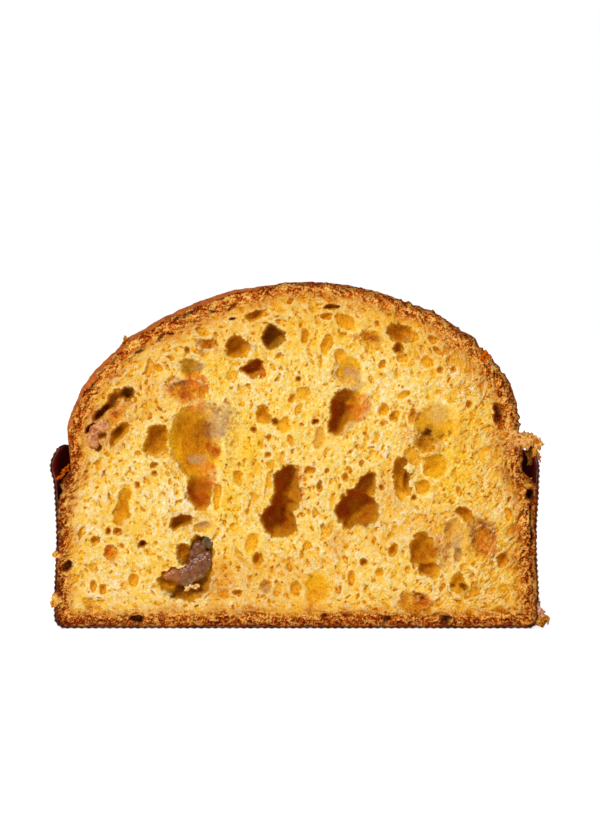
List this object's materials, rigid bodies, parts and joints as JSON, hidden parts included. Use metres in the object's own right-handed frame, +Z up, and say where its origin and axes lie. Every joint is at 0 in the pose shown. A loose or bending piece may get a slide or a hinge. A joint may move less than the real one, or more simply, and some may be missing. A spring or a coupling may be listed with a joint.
{
  "type": "panettone half",
  "caption": "Half of a low domed panettone with an open, airy crumb, cut straight down, standing in its half of a fluted brown paper case.",
  "frame": {"origin": "on the table, under the middle of the half's bounding box", "axes": "+Z up, the cut face looks along -Y, the round back of the case points along +Y, +X is to the right of someone who looks at the cut face"},
  "size_m": [0.2, 0.1, 0.1427],
  "materials": {
    "crumb": "matte yellow crumb under a brown baked crust",
    "brown_paper": "matte corrugated baking paper",
    "candied_chestnut": "moist and slightly glossy"
  },
  "bodies": {
    "root": {"loaf": "crumb", "paper_case": "brown_paper", "chestnut": "candied_chestnut", "chestnut_chip": "candied_chestnut"}
  },
  "joints": []
}
